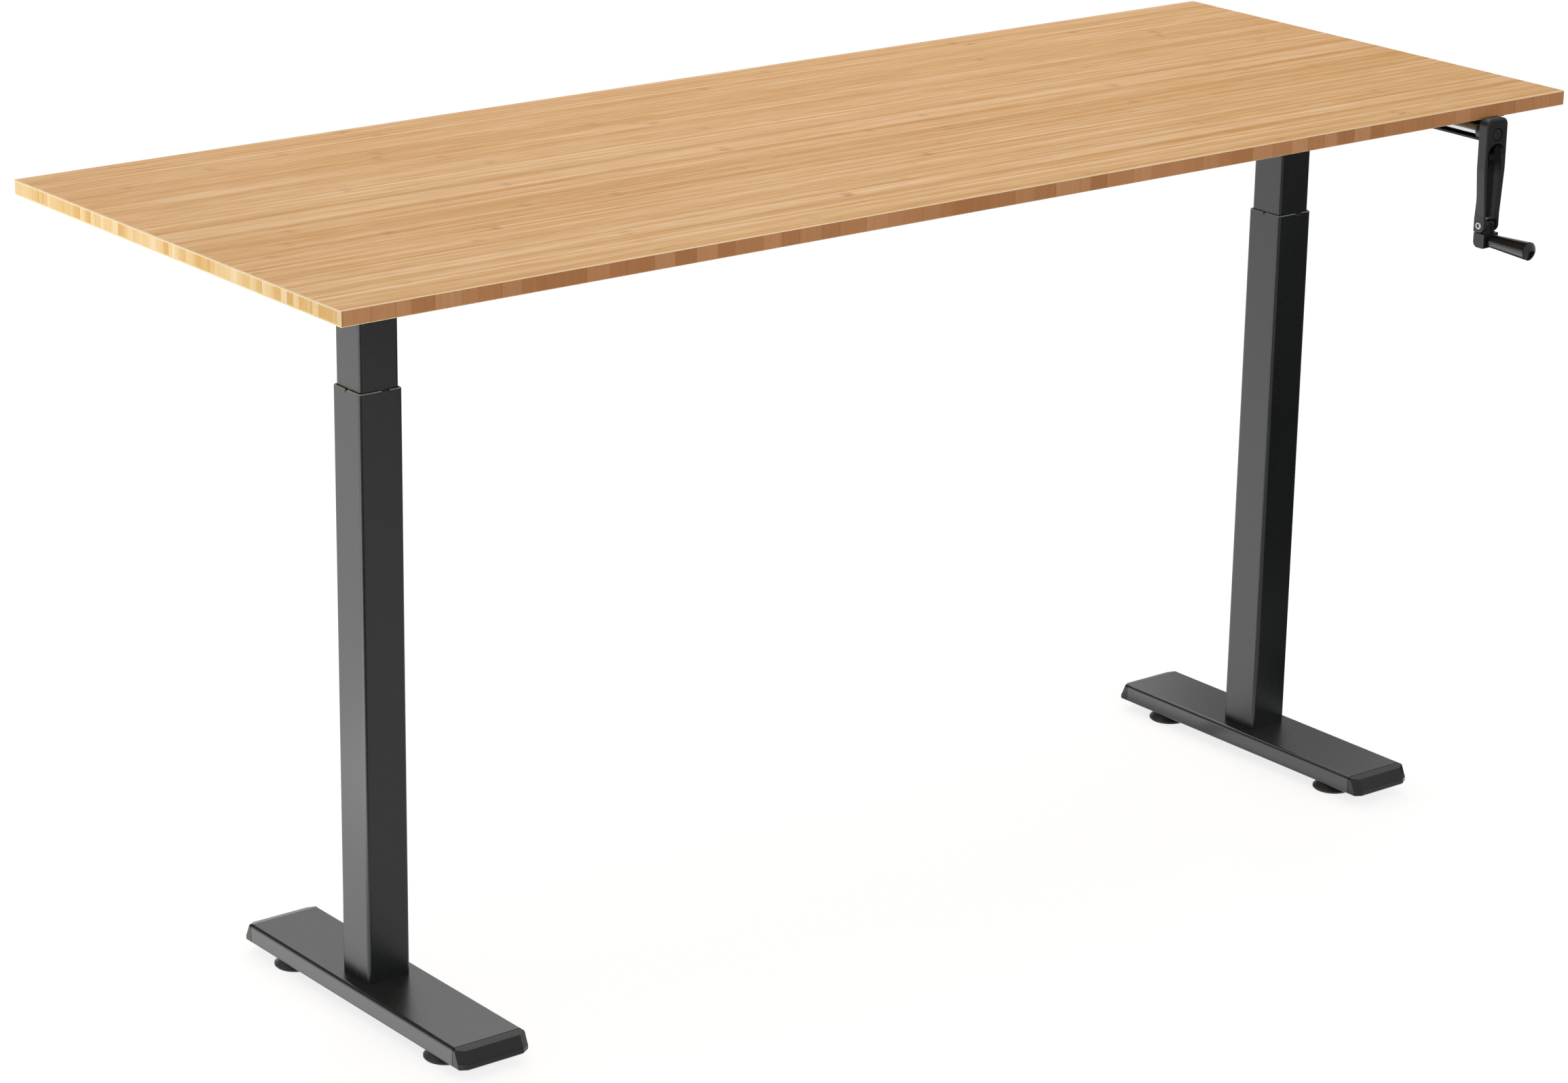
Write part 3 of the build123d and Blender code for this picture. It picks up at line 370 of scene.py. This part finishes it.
# Levelling glide: dark plastic foot, zinc-plated stud above it
def glide_look():
    look = Look("glide")
    _, _, z = look.split(look.place)
    stud = look.math("GREATER_THAN", z, GLIDE_FOOT)
    fine = look.noise(look.place, 1600.0, 3.0, 0.65)
    plastic = look.ramp(fine, (0.3, (0.020, 0.020, 0.021)), (0.7, (0.034, 0.034, 0.036)))
    turn = look.grain((120.0, 120.0, 900.0))
    zinc = look.ramp(turn, (0.3, (0.42, 0.43, 0.44)), (0.7, (0.60, 0.61, 0.62)))
    return look.set(
        Base_Color=look.mix(stud, plastic, zinc),
        Metallic=stud,
        Roughness=look.math("MULTIPLY_ADD", fine, 0.16, 0.38),
        Normal=look.bump(fine, 0.1, 0.0002),
    )


def spans(name):
    """The lowest and highest x, y and z of a CAD node."""
    return [(min(side), max(side)) for side in zip(*nodes[name].bound_box)]


board_low, board_high = spans("tabletop")[2]
tube_top = spans("left_outer_column")[2][1]
arm_x, arm_y, arm_z = spans("crank_arm")
scoop_head = arm_z[1] - 0.42 * (arm_z[1] - arm_z[0])
plug_centre = [(low + high) / 2 for low, high in spans("arm_plug")]

frame_look = powder_coat(
    "frame_coat", (0.007, 0.007, 0.0075), (0.015, 0.015, 0.016), rough=0.50, specular=0.34, grain=0.0012
)
zinc_look = metal("zinc_plate", (0.48, 0.49, 0.51), (0.68, 0.69, 0.70), rough=0.30, grain=0.0012)
steel_look = metal("mild_steel", (0.28, 0.28, 0.29), (0.42, 0.42, 0.42), rough=0.42)
gear_look = metal(
    "sintered_steel", (0.25, 0.25, 0.26), (0.38, 0.38, 0.39), rough=0.46, grain=0.0006, strength=0.14
)
cast_look = metal(
    "die_cast", (0.40, 0.40, 0.41), (0.55, 0.55, 0.56), rough=0.50, grain=0.0016, strength=0.16
)

# A node takes the look of the longest key that its name ends with
finishes = {
    "tabletop": bamboo(board_low, board_high),
    "outer_column": powder_coat(
        "lower_coat", COAT_DARK, COAT_LIGHT, rough=0.32, specular=0.40, rim=tube_top
    ),
    "inner_column": powder_coat("powder_coat", COAT_DARK, COAT_LIGHT, rough=0.32, specular=0.40),
    "foot_tube": powder_coat(
        "foot_coat", (0.011, 0.0113, 0.0113), (0.021, 0.0213, 0.0213), rough=0.28, specular=0.52, relief=0.3
    ),
    "foot_cap": moulded(
        "cap_plastic", (0.005, 0.005, 0.0055), (0.011, 0.011, 0.012), rough=0.30, specular=0.30
    ),
    "glide": glide_look(),
    "guide_sleeve": moulded(
        "sleeve_plastic", (0.016, 0.016, 0.017), (0.028, 0.028, 0.029), rough=0.42, specular=0.40
    ),
    "column_shoe": moulded(
        "shoe_plastic", (0.012, 0.012, 0.012), (0.022, 0.022, 0.022), rough=0.45, specular=0.40
    ),
    "side_bracket": frame_look,
    "rail": frame_look,
    "crank_support": frame_look,
    "base_plate": steel_look,
    "nut_tube": steel_look,
    "lead_nut": moulded(
        "nut_plastic", (0.56, 0.54, 0.48), (0.66, 0.64, 0.58), rough=0.42, specular=0.45, grain=0.0015
    ),
    "lead_screw": metal(
        "lead_screw_steel", (0.34, 0.34, 0.35), (0.52, 0.52, 0.53), rough=0.34, stretch=(0.5, 0.5, 1.0)
    ),
    "gear": gear_look,
    "crank_pinion": gear_look,
    "gear_housing": cast_look,
    "housing_cover": cast_look,
    "gear_bushes": metal("bronze", (0.52, 0.33, 0.14), (0.68, 0.45, 0.22), rough=0.36),
    "screw_bearings": zinc_look,
    "cross_shaft": metal(
        "bright_shaft", (0.46, 0.47, 0.48), (0.64, 0.64, 0.65), rough=0.30, stretch=(0.02, 0.9, 0.9)
    ),
    "crank_rod": metal(
        "bright_rod", (0.24, 0.245, 0.255), (0.36, 0.365, 0.38), rough=0.26, stretch=(0.9, 0.02, 0.9)
    ),
    "rod_bush": moulded(
        "bush_plastic", (0.010, 0.010, 0.011), (0.018, 0.018, 0.019), rough=0.40, specular=0.36
    ),
    "crank_arm": arm_plastic(arm_y[0], (arm_x[0] + arm_x[1]) / 2, scoop_head),
    "arm_plug": plug_plastic(plug_centre),
    "fold_block": moulded(
        "hinge_plastic", (0.008, 0.0085, 0.009), (0.015, 0.0155, 0.016), rough=0.34, specular=0.30
    ),
    "grip_spindle": zinc_look,
    "hinge_screw": metal("nickel_plate", (0.20, 0.20, 0.20), (0.31, 0.31, 0.30), rough=0.30),
    "grip": moulded(
        "grip_plastic", (0.005, 0.005, 0.0055), (0.009, 0.009, 0.0095),
        rough=0.25, specular=0.40, grain=0.002, strength=0.03,
    ),
    "bolts": zinc_look,
    "screws": zinc_look,
}
for name, piece in nodes.items():
    match = max((key for key in finishes if name.endswith(key)), key=len)
    piece.data.materials.clear()
    piece.data.materials.append(finishes[match])


# Stage: floor, cards, world and lamps
def clear_tree(owner):
    owner.use_nodes = True
    owner.node_tree.nodes.clear()
    return owner.node_tree


def math_node(tree, operation, *values):
    node = tree.nodes.new("ShaderNodeMath")
    node.operation = operation
    for socket, value in zip(node.inputs, values):
        tree.links.new(value, socket)
    return node.outputs[0]


def looked_at(tree):
    """1 where the eye, a reflection or a clear piece looks, and 0 for a ray that brings light."""
    rays = tree.nodes.new("ShaderNodeLightPath").outputs
    seen = math_node(tree, "MAXIMUM", rays["Is Camera Ray"], rays["Is Glossy Ray"])
    return math_node(tree, "MAXIMUM", seen, rays["Is Transmission Ray"])


def flat_piece(name, corners, material):
    mesh = bpy.data.meshes.new(name)
    mesh.from_pydata(corners, [], [(0, 1, 2, 3)])
    mesh.materials.append(material)
    piece = bpy.data.objects.new(name, mesh)
    scene.collection.objects.link(piece)
    return piece


# Plain pale floor: white to the eye and in reflections, a little brighter far off so that no horizon
# shows, and it keeps a soft shadow
def pale_floor(near, far):
    half, near_reach, far_reach = 30.0, 2.5, 7.0
    material = bpy.data.materials.new("pale_floor")
    tree = clear_tree(material)
    away = tree.nodes.new("ShaderNodeVectorMath")
    away.operation = "LENGTH"
    place = tree.nodes.new("ShaderNodeNewGeometry").outputs["Position"]
    tree.links.new(place, away.inputs[0])
    spread = tree.nodes.new("ShaderNodeMapRange")
    limits = {"From Min": near_reach, "From Max": far_reach, "To Min": near, "To Max": far}
    for socket, value in limits.items():
        spread.inputs[socket].default_value = value
    tree.links.new(away.outputs["Value"], spread.inputs["Value"])
    glow = tree.nodes.new("ShaderNodeEmission")
    strength = math_node(tree, "MULTIPLY", looked_at(tree), spread.outputs[0])
    tree.links.new(strength, glow.inputs["Strength"])
    matt = tree.nodes.new("ShaderNodeBsdfDiffuse")
    matt.inputs["Color"].default_value = (0.32, 0.32, 0.32, 1.0)
    both = tree.nodes.new("ShaderNodeAddShader")
    tree.links.new(matt.outputs[0], both.inputs[0])
    tree.links.new(glow.outputs[0], both.inputs[1])
    output = tree.nodes.new("ShaderNodeOutputMaterial")
    tree.links.new(both.outputs[0], output.inputs["Surface"])
    corners = [(-half, -half, 0), (half, -half, 0), (half, half, 0), (-half, half, 0)]
    floor = flat_piece("floor", corners, material)


# Dark card: only reflections show it, and it keeps some fronts, tops and rounded edges dark
def dark_card(name, xs, ys, zs):
    material = bpy.data.materials.new(name)
    tree = clear_tree(material)
    felt = tree.nodes.new("ShaderNodeBsdfDiffuse")
    felt.inputs["Color"].default_value = (0.03, 0.03, 0.03, 1.0)
    output = tree.nodes.new("ShaderNodeOutputMaterial")
    tree.links.new(felt.outputs[0], output.inputs["Surface"])
    lower = [(x, ys[0], zs[0]) for x in xs]
    upper = [(x, ys[1], zs[1]) for x in reversed(xs)]
    card = flat_piece(name, lower + upper, material)
    card.visible_camera = card.visible_diffuse = card.visible_shadow = False


# World: white to the eye and in reflections, softer as a light
def pale_world(light):
    world = bpy.data.worlds.new("studio")
    scene.world = world
    tree = clear_tree(world)
    level = tree.nodes.new("ShaderNodeMapRange")
    level.inputs["To Min"].default_value = light
    level.inputs["To Max"].default_value = 1.0
    tree.links.new(looked_at(tree), level.inputs["Value"])
    back = tree.nodes.new("ShaderNodeBackground")
    back.inputs["Color"].default_value = (1.0, 1.0, 1.0, 1.0)
    tree.links.new(level.outputs[0], back.inputs["Strength"])
    output = tree.nodes.new("ShaderNodeOutputWorld")
    tree.links.new(back.outputs[0], output.inputs["Surface"])


def softbox(name, place, aim, width, height, power, glossy=True):
    light = bpy.data.lights.new(name, "AREA")
    light.shape = "RECTANGLE"
    light.size = width
    light.size_y = height
    light.energy = power
    lamp = bpy.data.objects.new(name, light)
    scene.collection.objects.link(lamp)
    lamp.location = place
    lamp.rotation_euler = (Vector(aim) - Vector(place)).to_track_quat("-Z", "Y").to_euler()
    lamp.visible_camera = False
    lamp.visible_glossy = glossy


# Camera at the photograph's viewing angle
def set_camera(place, yaw, pitch, roll, lens, sensor_width):
    place = Vector(place)
    yaw, pitch, roll = (math.radians(angle) for angle in (yaw, pitch, roll))
    flat = math.cos(pitch)
    ahead = Vector((math.sin(yaw) * flat, math.cos(yaw) * flat, -math.sin(pitch)))
    right = Vector((math.cos(yaw), -math.sin(yaw), 0.0))
    up = right.cross(ahead)
    tilted_right = right * math.cos(roll) + up * math.sin(roll)
    tilted_up = up * math.cos(roll) - right * math.sin(roll)
    data = bpy.data.cameras.new("camera")
    data.sensor_fit = "HORIZONTAL"
    data.sensor_width = sensor_width
    data.lens = lens
    camera = bpy.data.objects.new("camera", data)
    scene.collection.objects.link(camera)
    turn = Matrix((tilted_right, tilted_up, -ahead)).transposed()
    camera.matrix_world = Matrix.Translation(place) @ turn.to_4x4()
    scene.camera = camera


pale_floor(near=0.80, far=0.87)
pale_world(light=0.45)

# Three cards lie on the floor, two stand upright behind the desk
on_floor = (0.003, 0.003)
dark_card("right_card", (0.9, 4.5), (-5.0, -0.33), on_floor)
dark_card("grip_card", (0.76, 1.7), (-0.3, 1.1), on_floor)
dark_card("left_card", (-2.3, -0.7), (-2.6, -0.45), on_floor)
dark_card("far_card", (1.44, 1.99), (1.0, 1.0), (0.44, 0.74))
dark_card("back_card", (-3.4, 0.3), (3.2, 3.2), (1.2, 4.4))

# Panels on the floor light the left faces, the soft boxes above light the top and the front
floor_panels = (
    ("low_left", -2.845, 2.45, 0.004, 4.4, 5.5, 92.0),
    ("low_side", -2.2, 0.15, 0.006, 2.4, 0.9, 30.0),
    ("low_back", -0.03, 2.60, 0.004, 1.2, 5.0, 31.0),
    ("far_foot", 0.515, -0.17, 0.006, 0.14, 0.46, 0.19),
)
for name, x, y, z, width, height, power in floor_panels:
    softbox(name, (x, y, z), (x, y, 1.0), width, height, power)
softbox("high_back", (0.9, 2.4, 2.7), (-0.3, -0.2, 0.03), 3.0, 1.8, 23.0)
softbox("top", (-0.2, 0.4, 3.6), (0.0, 0.05, 0.8), 4.2, 2.6, 37.0)
softbox("front_fill", (-0.6, -4.4, 2.4), (0.0, 0.0, 0.7), 3.6, 1.6, 55.0, glossy=False)

set_camera(
    place=(-2.8218, -3.4584, 1.8721), yaw=38.34, pitch=18.42, roll=0.90, lens=100.40, sensor_width=36.0
)
